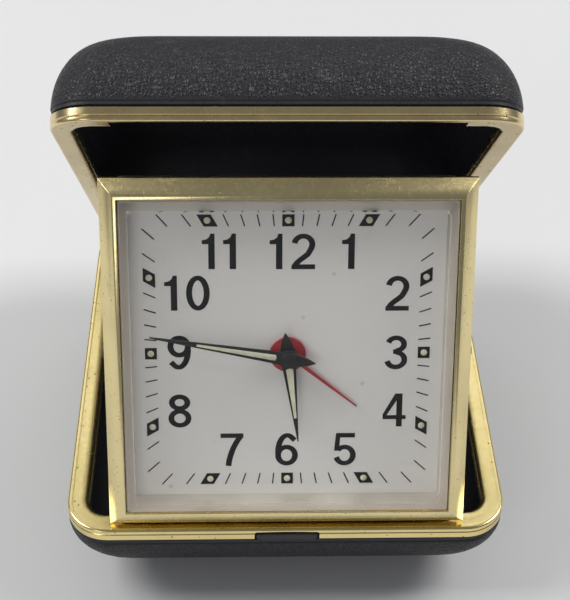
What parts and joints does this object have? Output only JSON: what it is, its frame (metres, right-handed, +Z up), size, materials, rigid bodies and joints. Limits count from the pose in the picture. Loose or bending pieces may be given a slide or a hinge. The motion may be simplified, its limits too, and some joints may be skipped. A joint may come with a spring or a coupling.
{
  "type": "travel alarm clock",
  "caption": "Folding travel alarm clock: square wind-up clock with brass bezel standing in the mouth of a hinged black two-shell case with brass rims.",
  "frame": {"origin": "centre of the flat underside of the lower shell, on the surface the clock stands on", "axes": "+X to the clock's right seen from the front, +Y to the case hinge at the back, +Z up; the dial faces -Y"},
  "size_m": [0.073, 0.0872, 0.0848],
  "materials": {
    "leatherette": "grained leather-look, satin",
    "case_brass": "polished, worn",
    "black_plastic": "satin",
    "steel": "plain",
    "pin_brown": "dark oxidised",
    "crystal": "clear moulded",
    "dial": "silvered white, fine satin",
    "hand_black": "satin with cream fill",
    "alarm_red": "satin",
    "movement_brass": "plain"
  },
  "bodies": {
    "lower_case": {"lower_shell": "leatherette", "lower_rim": "case_brass", "lower_hinge_leaf": "case_brass", "case_hinge_pin": "steel", "hinge_spring": "steel", "clock_hinge_rod": "steel", "rod_bracket_left": "steel", "rod_bracket_right": "steel", "lift_spring": "steel"},
    "lid": {"lid_shell": "leatherette", "lid_rim": "case_brass", "lid_catch": "case_brass", "lid_hinge_leaf": "case_brass"},
    "clock_case": {"bezel": "case_brass", "crystal": "crystal", "dial": "dial", "clock_housing": "black_plastic", "back_cover": "black_plastic", "back_screw_1": "steel", "back_screw_2": "steel", "back_screw_3": "steel", "back_screw_4": "steel", "side_pin_left": "pin_brown", "side_pin_right": "pin_brown", "front_plate": "movement_brass", "back_plate": "movement_brass", "pillar_1": "steel", "pillar_2": "steel", "pillar_3": "steel", "pillar_4": "steel", "sounding_post": "steel"},
    "latch": {"latch_button": "black_plastic"},
    "minute": {"minute_hand": "hand_black", "center_wheel": "movement_brass", "hand_set_knob": "movement_brass"},
    "hour": {"hour_hand": "hand_black", "hour_wheel": "movement_brass"},
    "alarm": {"alarm_hand": "alarm_red", "alarm_wheel": "movement_brass"},
    "alarm_set": {"alarm_set_knob": "movement_brass"},
    "third": {"third_wheel": "movement_brass"},
    "fourth": {"fourth_wheel": "movement_brass"},
    "escape": {"escape_wheel": "movement_brass"},
    "minute_wheel": {"minute_wheel": "movement_brass"},
    "going_barrel": {"going_barrel": "movement_brass"},
    "alarm_barrel": {"alarm_barrel": "movement_brass"},
    "time_key": {"time_key": "movement_brass"},
    "alarm_key": {"alarm_key": "movement_brass"},
    "pallets": {"pallet_lever": "steel"},
    "balance": {"balance_wheel": "movement_brass", "hairspring": "steel"},
    "hammer": {"alarm_hammer": "steel"},
    "regulator": {"regulator_lever": "steel"},
    "shutoff": {"alarm_shutoff": "black_plastic"}
  },
  "joints": [
    {"name": "lid_hinge", "type": "hinge", "parent": "lower_case", "child": "lid", "pos_m": [0, 0.041, 0.018], "axis": [1, 0, 0], "range_deg": [0, 49.5], "stiffness_Nm_per_rad": 0.03, "springref_deg": -80.21},
    {"name": "clock_fold", "type": "hinge", "parent": "lower_case", "child": "clock_case", "pos_m": [0, -0.0371, 0.01556], "axis": [-1, 0, 0], "range_deg": [0, 67.5]},
    {"name": "latch_press", "type": "slide", "parent": "lower_case", "child": "latch", "axis": [0, 1, 0], "range_m": [0, 0.0006], "stiffness_N_per_m": 300, "springref_m": -0.001},
    {"name": "minute_spin", "type": "hinge", "parent": "clock_case", "child": "minute", "pos_m": [0, -0.02628, 0.04486], "axis": [0, 0.91, -0.4147], "continuous": true},
    {"name": "hour_spin", "type": "hinge", "parent": "clock_case", "child": "hour", "pos_m": [0, -0.02628, 0.04486], "axis": [0, 0.91, -0.4147], "continuous": true},
    {"name": "alarm_spin", "type": "hinge", "parent": "clock_case", "child": "alarm", "pos_m": [0, -0.02628, 0.04486], "axis": [0, 0.91, -0.4147], "continuous": true},
    {"name": "alarm_set_spin", "type": "hinge", "parent": "clock_case", "child": "alarm_set", "pos_m": [0.00992, -0.02778, 0.04157], "axis": [0, 0.91, -0.4147], "continuous": true},
    {"name": "third_spin", "type": "hinge", "parent": "clock_case", "child": "third", "pos_m": [0.00656, -0.02437, 0.04904], "axis": [0, 0.91, -0.4147], "continuous": true},
    {"name": "fourth_spin", "type": "hinge", "parent": "clock_case", "child": "fourth", "pos_m": [0.0041, -0.02156, 0.05521], "axis": [0, 0.91, -0.4147], "continuous": true},
    {"name": "escape_spin", "type": "hinge", "parent": "clock_case", "child": "escape", "pos_m": [-0.00187, -0.02113, 0.05616], "axis": [0, 0.91, -0.4147], "continuous": true},
    {"name": "minute_wheel_spin", "type": "hinge", "parent": "clock_case", "child": "minute_wheel", "pos_m": [0, -0.0241, 0.04965], "axis": [0, 0.91, -0.4147], "continuous": true},
    {"name": "going_barrel_spin", "type": "hinge", "parent": "clock_case", "child": "going_barrel", "pos_m": [-0.00791, -0.02858, 0.03982], "axis": [0, 0.91, -0.4147], "continuous": true},
    {"name": "alarm_barrel_spin", "type": "hinge", "parent": "clock_case", "child": "alarm_barrel", "pos_m": [0.0135, -0.03125, 0.03394], "axis": [0, 0.91, -0.4147], "continuous": true},
    {"name": "time_key_spin", "type": "hinge", "parent": "clock_case", "child": "time_key", "pos_m": [-0.00791, -0.02858, 0.03982], "axis": [0, 0.91, -0.4147], "continuous": true},
    {"name": "alarm_key_spin", "type": "hinge", "parent": "clock_case", "child": "alarm_key", "pos_m": [0.0135, -0.03125, 0.03394], "axis": [0, 0.91, -0.4147], "continuous": true},
    {"name": "pallet_rock", "type": "hinge", "parent": "clock_case", "child": "pallets", "pos_m": [-0.00725, -0.02093, 0.05659], "axis": [0, 0.91, -0.4147], "range_deg": [-6, 6]},
    {"name": "balance_swing", "type": "hinge", "parent": "clock_case", "child": "balance", "pos_m": [-0.01508, -0.02048, 0.05759], "axis": [0, 0.91, -0.4147], "range_deg": [-150, 150]},
    {"name": "hammer_swing", "type": "hinge", "parent": "clock_case", "child": "hammer", "pos_m": [0.019, -0.02462, 0.0485], "axis": [0, 0.91, -0.4147], "range_deg": [-10, 4]},
    {"name": "regulator_swing", "type": "hinge", "parent": "clock_case", "child": "regulator", "pos_m": [-0.01508, -0.02048, 0.05759], "axis": [0, 0.91, -0.4147], "range_deg": [-20, 20]},
    {"name": "shutoff_slide", "type": "slide", "parent": "clock_case", "child": "shutoff", "axis": [1, 0, 0], "range_m": [0, 0.004]}
  ],
  "couplings": [
    {"joint": "clock_fold", "follows": "lid_hinge", "ratio": 1.3636},
    {"joint": "hour_spin", "follows": "minute_spin", "ratio": 0.083333},
    {"joint": "third_spin", "follows": "minute_spin", "ratio": -8},
    {"joint": "escape_spin", "follows": "fourth_spin", "ratio": -8},
    {"joint": "minute_wheel_spin", "follows": "minute_spin", "ratio": -0.33333},
    {"joint": "going_barrel_spin", "follows": "minute_spin", "ratio": -0.16667},
    {"joint": "alarm_spin", "follows": "alarm_set_spin", "ratio": -0.16667}
  ]
}
